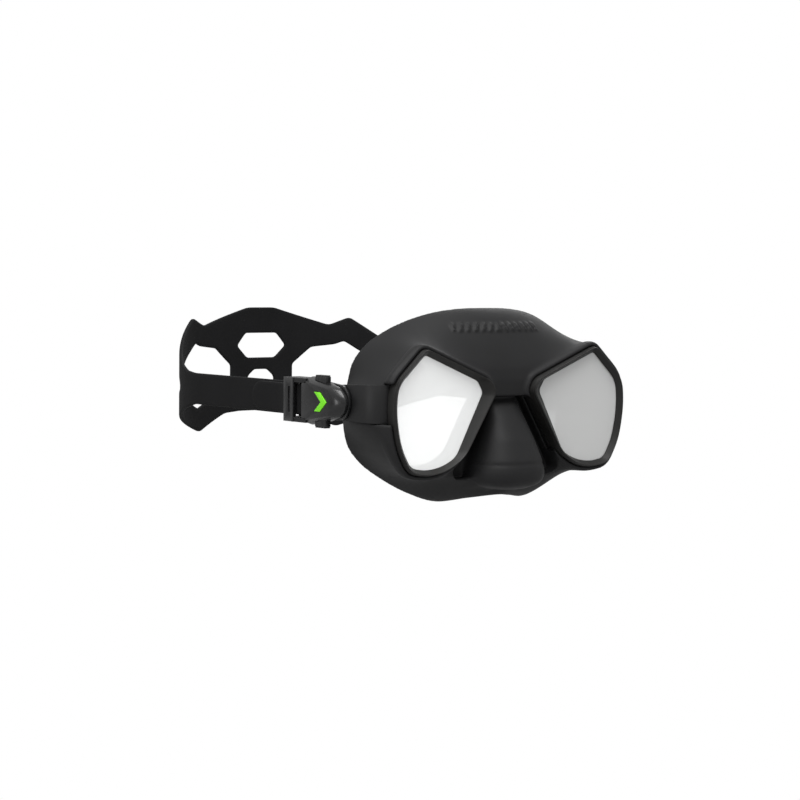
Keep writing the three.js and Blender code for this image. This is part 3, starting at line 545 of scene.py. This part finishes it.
def wall_table(wall, depths, angles):
    """The wall's radius round the Y axis at each depth and angle, and the rim's depth."""
    radius = np.zeros((len(depths), len(angles)))
    columns = wall.shape[1]
    at_depth = np.zeros((len(depths), columns, 2))
    for i in range(columns):
        for axis, part in ((0, 0), (2, 1)):
            at_depth[:, i, part] = np.interp(depths, wall[:, i, 1], wall[:, i, axis])
    for row in range(len(depths)):
        x, z = at_depth[row, :, 0], at_depth[row, :, 1]
        turn = np.arctan2(z, x)
        order = np.argsort(turn)
        radius[row] = np.interp(angles, turn[order], np.hypot(x, z)[order], period=2 * np.pi)
    rim_turn = np.arctan2(wall[-1, :, 2], wall[-1, :, 0])
    order = np.argsort(rim_turn)
    rim_depth = np.interp(angles, rim_turn[order], wall[-1, order, 1], period=2 * np.pi)
    return radius, rim_depth


# Nose pocket: half width, and depth of its front, at each height.
NOSE_SECTIONS = np.array([
    (3.6, 7.4, 7.4), (1.6, 8.4, 5.4), (-1, 9.4, 2.6), (-4, 10.2, 0.4), (-8, 11.6, -2.6),
    (-18, 15, -8.4), (-28, 18.6, -12.3), (-33.5, 20, -13.2), (-37.5, 19.2, -12.8), (-40.2, 16, -10.5),
    (-42, 10, -6),
])
NOSE_BACK_Y = 8.0
NOSE_CREASE_Z = -29.5
NOSE_SMOOTHING = 3          # passes over the sections
BAY_BACK_Y = 11.5           # floor of the bay between the bezels that the nose stands in


def nose_bay(margin):
    """Half outline of the bay in X and Z, grown outwards by a margin."""
    m = margin
    corners = [(-3, 3.2 + m), (11.8 + m, 3.2 + m), (30.4 + m, -27.6), (32.8 + m, -31.6),
               (33 + m, -33.6 - m), (30 + m, -36.2 - m), (-3, -37 - m)]
    return rounded_loop(np.array(corners, float), 2.4, 4)


# The frame's arm lies in a notch in each side of the skirt, drawn from above and from
# the side.
PIVOT_Y, PIVOT_Z = 27.5, 0.6
NOTCH_PLAN = [(69.1, 0), (90, 0), (90, 38.3), (77.6, 38.3), (77.6, 18.3), (77, 12.3), (76.1, 8.9),
              (72.7, 6.1), (69.1, 6.1)]
NOTCH_HALF = 8.6
BRIDGE_SLOT = ((-24.3, 3.0, 5.1), (24.3, 6.1, 10.1))
RIB_ROW = {"reach": 27.0, "low": 33.2, "high": 38.4, "pitch": 4.3, "height": 0.85, "slant": 0.45}


def notch_side():
    turns = np.linspace(-math.pi / 2, math.pi / 2, 15)
    eye = [(PIVOT_Y + NOTCH_HALF * math.cos(t), PIVOT_Z + NOTCH_HALF * math.sin(t)) for t in turns]
    return [(0, PIVOT_Z - NOTCH_HALF - 0.8), *eye, (0, PIVOT_Z + NOTCH_HALF + 0.8)]


def wall_field(flat_x, flat_z, depths, step):
    """Signed field of the outer wall, ribs included, and the rim's depth in each column."""
    rho, turn = np.hypot(flat_x, flat_z), np.arctan2(flat_z, flat_x)
    angles = np.linspace(-np.pi, np.pi, 1441)
    radius, rim_depth = wall_table(skirt_wall(), depths, angles)
    per_depth = np.gradient(radius, step, axis=0)
    per_turn = np.gradient(radius, angles, axis=1) / radius
    steepness = np.sqrt(1 + per_depth ** 2 + per_turn ** 2)
    outer = np.zeros((flat_x.shape[0], len(depths), flat_x.shape[1]))
    for row in range(len(depths)):
        edge = np.interp(turn, angles, radius[row])
        outer[:, row, :] = (rho - edge) / np.interp(turn, angles, steepness[row])
    outer -= rib_row(flat_x, flat_z)[:, None, :]
    return outer, np.interp(turn, angles, rim_depth)[:, None, :]


def front_depth(flat_x, flat_z):
    """Depth of the skirt's front face: nearest between the brows, further back at the lip."""
    brow = 1.1 * np.exp(-(flat_x / 20) ** 2) * (flat_z > -5)
    lip = 2.5 * np.exp(-(flat_x / 26) ** 2) * np.clip(-flat_z / 36, 0, 1) ** 2
    return (1.5 - brow + lip)[:, None, :]


def arm_notch(x, y, z):
    """Signed field of the notch that the frame's arm lies in."""
    plan = polygon_distance(NOTCH_PLAN, *np.meshgrid(x, y, indexing="ij"))[:, :, None]
    side = polygon_distance(notch_side(), *np.meshgrid(y, z, indexing="ij"))[None, :, :]
    return np.maximum(plan, side)


def bridge_slot(across, depth, height):
    """Signed field of the slot for the frame's bridge over the nose."""
    low, high = np.array(BRIDGE_SLOT)
    slot = np.maximum(across - high[0], np.maximum(low[1] - depth, depth - high[1]))
    return np.maximum(slot, np.maximum(low[2] - height, height - high[2]))


def skirt_field(step):
    """The skirt's signed field on its left half, with the grid's X, Y and Z."""
    x = np.arange(-2, int(82 / step) + 1) * step
    y = np.arange(int(-17 / step), int(43 / step) + 1) * step
    z = np.arange(int(-53 / step), int(49 / step) + 1) * step
    flat_x, flat_z = np.meshgrid(x, z, indexing="ij")
    across, depth, height = x[:, None, None], y[None, :, None], z[None, None, :]
    outer, rim = wall_field(flat_x, flat_z, y, step)

    def plate(loop):
        return polygon_distance(loop, flat_x, flat_z)[:, None, :]

    body = smooth_max(outer, front_depth(flat_x, flat_z) - depth, 1.6)
    body = smooth_max(body, depth - rim, 1.2)
    nose = nose_field(across, depth, height, step)

    hollow = smooth_max(outer + SKIRT_WALL, HOLLOW_FRONT_Y - depth, 3.0)
    hollow = smooth_max(hollow, depth - (rim - SEAL_THICKNESS), 1.5)
    seal_eye = np.maximum(outer + SEAL_WIDTH, rim - 6 - depth)
    hollow = smooth_min(hollow, seal_eye, 1.5)
    guard = np.maximum(plate(nose_bay(SKIRT_WALL)), depth - BAY_BACK_Y - SKIRT_WALL)
    hollow = smooth_max(hollow, -guard, 1.2)
    body = smooth_max(body, -hollow, 0.8)
    body = smooth_max(body, -(nose + SKIRT_WALL), 0.8)

    window = plate(window_loop(BEZEL_WIDTH))
    lip = smooth_max(window - LIP_WIDTH, LIP_FRONT_Y - depth, 1.0)
    body = smooth_min(body, np.maximum(lip, depth - 4), 2.6)
    body = smooth_max(body, -np.maximum(plate(nose_bay(0)), depth - BAY_BACK_Y), 1.0)
    body = smooth_min(body, nose, 3.0)
    pocket = np.maximum(window - 0.18, depth - 6.1)
    eye = np.maximum(plate(window_loop(-1.2, 3.4)), depth - 15)
    body = smooth_max(body, -pocket, 0.5)
    body = smooth_max(body, -eye, 0.8)
    body = smooth_max(body, -arm_notch(x, y, z), 0.9)
    body = np.maximum(body, -bridge_slot(across, depth, height))
    return body, x, y, z


def rib_row(flat_x, flat_z):
    """Height of the row of short slanted ribs on the forehead."""
    row = RIB_ROW
    middle = (row["low"] + row["high"]) / 2
    phase = (flat_x + row["slant"] * (flat_z - middle)) / row["pitch"]
    ridge = np.clip(2.0 * np.cos(2 * math.pi * phase) + 0.5, 0, 1)
    within = np.clip((row["reach"] - np.abs(flat_x)) / 1.2, 0, 1)
    within = within * np.clip((flat_z - row["low"]) / 1.2, 0, 1) * np.clip((row["high"] - flat_z) / 1.2, 0, 1)
    return row["height"] * ridge * within


def nose_field(across, depth, height, step):
    """Signed field of the nose pocket: a rounded wedge, open at the back."""
    heights, halves, fronts = NOSE_SECTIONS[::-1].T
    level = height[0, 0]
    half = np.interp(level, heights, halves)[None, None, :]
    front = np.interp(level, heights, fronts)[None, None, :]
    for table in (half, front):
        for _ in range(NOSE_SMOOTHING):
            table[..., 1:-1] = (table[..., :-2] + 2 * table[..., 1:-1] + table[..., 2:]) / 4
    side = np.abs(across) / half
    rise = np.maximum(NOSE_BACK_Y - depth, 0) / (NOSE_BACK_Y - front)
    shape = (side ** 2.5 + rise ** 2.65) ** (1 / 2.57) - 1
    slope = np.gradient(shape, step)
    steep = np.sqrt(sum(g * g for g in slope))
    field = shape / np.maximum(steep, 0.02)
    field = smooth_max(field, -42.0 - height, 2.5)
    field = smooth_max(field, height - 3.6, 0.8)
    field = field + 0.35 * np.exp(-((height - NOSE_CREASE_Z) / 0.7) ** 2)
    return np.maximum(field, depth - 16.0)


def make_skirt():
    half, x, y, z = skirt_field(SKIRT_STEP)
    kept = half[2:]
    whole = np.concatenate([kept[:0:-1], kept])
    low = (-x[-1], y[0], z[0])
    points, quads = surface_nets(whole, low, (SKIRT_STEP,) * 3)
    add_object("moulded_skirt", points, quads.tolist(), silicone, "mask", ["skirt"])


make_skirt()

# ---------------------------------------------------------------- strap

STRAP_HALF_THICKNESS = 1.0
STRAP_HALF_WIDTH = 80.0
STRAP_BACK_DEPTH = 68.8
STRAP_CORNER_Y = 150.0
STRAP_ROUNDNESS = 2.3       # superellipse exponent of the back of the loop
BAND_JOIN_Y = 78.0
BAND_TOP_Z, BAND_BOTTOM_Z = 8.7, -7.4
ROLLER = (81.5, 56.5)
FOLD_RADIUS = 3.85          # middle of the strap where it turns round the roller
TAIL_X, TAIL_END_Y = 82.4, 99.4
TAIL_HALF = 7.2
TAIL_ROUND = 7.0
STRAP_STEP = (0.7, 0.35, 0.7)
TOOTH_PITCH = 3.2
TOOTH_DEPTH = 0.35


def smooth_path(points, steps=12):
    """Catmull-Rom through a list of points, ends included."""
    points = np.array(points, float)
    padded = np.concatenate([[2 * points[0] - points[1]], points, [2 * points[-1] - points[-2]]])
    path = []
    for i in range(len(points) - 1):
        a, b, c, d = padded[i:i + 4]
        for t in np.arange(steps) / steps:
            path.append(0.5 * (2 * b + (c - a) * t + (2 * a - 5 * b + 4 * c - d) * t ** 2
                               + (3 * b - a - 3 * c + d) * t ** 3))
    path.append(points[-1])
    return np.array(path)


def strap_route():
    """The strap's middle line from the back of the head to the end of the tail, and the
    lengths along it where the plain band starts and where the fold is halfway."""
    turn = np.linspace(math.pi / 2, 0, 700)[:, None]
    power = 2 / STRAP_ROUNDNESS
    back = np.concatenate([STRAP_HALF_WIDTH * np.abs(np.cos(turn)) ** power,
                           STRAP_CORNER_Y + STRAP_BACK_DEPTH * np.abs(np.sin(turn)) ** power], 1)
    back = back[np.concatenate([[True], np.linalg.norm(np.diff(back, axis=0), axis=1) > 1e-3])]
    inner, outer = ROLLER[0] - FOLD_RADIUS, ROLLER[0] + FOLD_RADIUS
    approach = smooth_path([(STRAP_HALF_WIDTH, BAND_JOIN_Y - 1), (79.7, 73), (78.4, 65), (inner, 59),
                            (inner, ROLLER[1])])
    fold = [(ROLLER[0] - FOLD_RADIUS * math.cos(t), ROLLER[1] - FOLD_RADIUS * math.sin(t))
            for t in np.linspace(0, math.pi, 40)[1:-1]]
    tail = smooth_path([(outer, ROLLER[1]), (outer - 0.1, 59), (84.5, 66), (82.9, 73), (TAIL_X, 79),
                        (TAIL_X, 90), (TAIL_X, TAIL_END_Y)])
    straight = [(STRAP_HALF_WIDTH, y) for y in np.arange(STRAP_CORNER_Y - 2, BAND_JOIN_Y, -4.0)]
    route = np.concatenate([back, straight, approach, fold, tail])
    length = np.concatenate([[0], np.cumsum(np.linalg.norm(np.diff(route, axis=0), axis=1))])
    join = length[len(back) + len(straight)]
    middle = length[len(back) + len(straight) + len(approach) + len(fold) // 2]
    return route, length, join, middle


def mirrored(half):
    return [(-u, z) for u, z in reversed(half)]


def strap_pattern(join, middle, end):
    """Outlines of the flat strap and its windows, as length and height."""
    centre = (BAND_TOP_Z + BAND_BOTTOM_Z) / 2
    tail = [(end - TAIL_ROUND + TAIL_ROUND * math.sin(t), centre + TAIL_HALF * math.cos(t))
            for t in np.linspace(0, math.pi, 15)]
    half = [
        (8.6, 41.1), (42.6, 31.2), (54.4, 35.7), (69.5, 26.2), (80, 19.4), (91, 13), (102, 9.6),
        (112, BAND_TOP_Z), (join, BAND_TOP_Z), (middle - 3, BAND_TOP_Z), (middle + 6, centre + TAIL_HALF),
        *tail,
        (middle + 6, centre - TAIL_HALF), (middle - 3, BAND_BOTTOM_Z), (join, BAND_BOTTOM_Z),
        (112, BAND_BOTTOM_Z), (104, -9.4), (94.3, -11.8), (83.2, -15.4), (46.8, -26.6), (25.3, -17.4),
        (14, -16.5),
    ]
    crown = [(10.4, 26.8), (16.2, 19.8), (9.3, 13.1)]
    nape = [(4.4, 6.5), (8.8, 2.6), (8.8, -4), (4.4, -8)]
    flank = [(20.5, 9.2), (32, 18.6), (46, 20.1), (51.4, 22), (59.6, 16.9), (88, 1.6), (88, -0.6),
             (60, -9.6), (48.5, -13.8), (41, -10.8), (20.5, -7)]
    windows = [crown + mirrored(crown), nape + mirrored(nape), flank, mirrored(flank)]
    return (rounded_loop(np.array(half + mirrored(half), float), 2.2, 4),
            [rounded_loop(np.array(window, float), 1.4, 4) for window in windows])


def make_strap():
    route, length, join, middle = strap_route()
    outline, windows = strap_pattern(join, middle, length[-1])
    du, dw, dz = STRAP_STEP
    u = np.arange(-int(length[-1] / du) - 3, int(length[-1] / du) + 4) * du
    w = np.arange(-5, 6) * dw
    z = np.arange(int(-28 / dz) - 2, int(43 / dz) + 3) * dz
    flat_u, flat_z = np.meshgrid(u, z, indexing="ij")
    flat = polygon_distance(outline, flat_u, flat_z)
    for window in windows:
        flat = np.maximum(flat, -polygon_distance(window, flat_u, flat_z))
    toothed = np.clip((np.abs(u) - (join - 17)) / 2, 0, 1) * np.clip((join + 11 - np.abs(u)) / 2, 0, 1)
    tooth = TOOTH_DEPTH * toothed * (0.5 + 0.5 * np.cos(2 * math.pi * u / TOOTH_PITCH))
    edge = np.minimum(1, np.maximum(0, -flat - 1.6))
    thickness = STRAP_HALF_THICKNESS - (w < 0)[None, :, None] * tooth[:, None, None] * edge[:, None, :]
    field = smooth_max(flat[:, None, :], np.abs(w)[None, :, None] - thickness, 0.7)
    points, quads = surface_nets(field, (u[0], w[0], z[0]), STRAP_STEP)
    reach = np.clip(np.abs(points[:, 0]), 0, length[-1])
    tangent = np.gradient(route, length, axis=0)
    tangent /= np.linalg.norm(tangent, axis=1)[:, None]
    at = [np.interp(reach, length, route[:, axis]) for axis in (0, 1)]
    along = [np.interp(reach, length, tangent[:, axis]) for axis in (0, 1)]
    size = np.hypot(*along)
    out = points[:, 1] / size
    side = np.where(points[:, 0] < 0, -1, 1)
    bent = np.stack([side * (at[0] - out * along[1]), at[1] + out * along[0], points[:, 2]], 1)
    add_object("moulded_strap", bent, quads.tolist(), strap_silicone, "strap_set",
               ["strap"])


make_strap()


# ---------------------------------------------------------------- hard parts

BODY_OF = {node: body for body, nodes in frame["record"]["behaviour"]["bodies"].items() for node in nodes}

# The cover's height as a share of the plain one's, at each depth in the model's frame.
COVER_TAPER = [(-14.0, 0.5), (-11.0, 0.62), (-7.0, 0.78), (-2.5, 0.92), (1.0, 1.0), (10.5, 1.0), (14.0, 1.1),
               (20.0, 1.1)]


def tapered(source):
    """Draw the cover in towards its tip, which leaves the rim of the base showing round it."""
    depths, shares = np.array(COVER_TAPER).T
    for vert in source.verts:
        share = np.interp(vert.co.y / MM, depths, shares)
        vert.co.z = (PIVOT_Z + (vert.co.z / MM - PIVOT_Z) * share) * MM


def refined(node_name, piece_name, material, bevel, angle=32.0, segments=2):
    """A copy of a hard part with its edges rounded."""
    source = bmesh.new()
    source.from_mesh(frame["nodes"][node_name].data)
    bmesh.ops.remove_doubles(source, verts=source.verts, dist=2e-6)
    if node_name.endswith("buckle_cover"):
        tapered(source)
    bmesh.ops.dissolve_limit(source, angle_limit=math.radians(1.0), verts=source.verts, edges=source.edges)
    sharp = [e for e in source.edges if len(e.link_faces) == 2 and e.calc_face_angle(0) > math.radians(angle)]
    bmesh.ops.bevel(source, geom=sharp, offset=bevel * MM, offset_type="OFFSET", segments=segments,
                    profile=0.5, affect="EDGES", clamp_overlap=True)
    bmesh.ops.triangulate(source, faces=[f for f in source.faces if len(f.verts) > 4])
    mesh = bpy.data.meshes.new(piece_name)
    source.to_mesh(mesh)
    source.free()
    mesh.materials.clear()
    mesh.materials.append(material)
    mesh.shade_smooth()
    mesh.set_sharp_from_angle(angle=math.radians(angle))
    piece = bpy.data.objects.new(piece_name, mesh)
    bpy.context.scene.collection.objects.link(piece)
    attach(piece, BODY_OF[node_name])
    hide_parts(node_name)


refined("mask_frame", "frame_moulding", frame_plastic, 0.3)
HARD_PARTS = {
    "buckle_base": (buckle_plastic, "buckle_plastic", 0.3),
    "buckle_cover": (buckle_plastic, "buckle_plastic", 0.35),
    "badge": (lime_plastic, "accent_plastic", 0.12),
    "upper_button": (buckle_plastic, "buckle_plastic", 0.18),
    "lower_button": (buckle_plastic, "buckle_plastic", 0.18),
    "strap_roller": (buckle_plastic, "buckle_plastic", 0.25),
    "swivel_pin": (spring_steel, "steel", 0.2),
    "roller_axle": (spring_steel, "steel", 0.15),
}
for side_name in ("left", "right"):
    for part, (material, slot, bevel) in HARD_PARTS.items():
        refined(f"{side_name}_{part}", f"{side_name}_{part}_moulding", material, bevel)
    for part in ("upper_spring", "lower_spring"):
        coil = frame["nodes"][f"{side_name}_{part}"]
        coil.data.materials.clear()
        coil.data.materials.append(spring_steel)
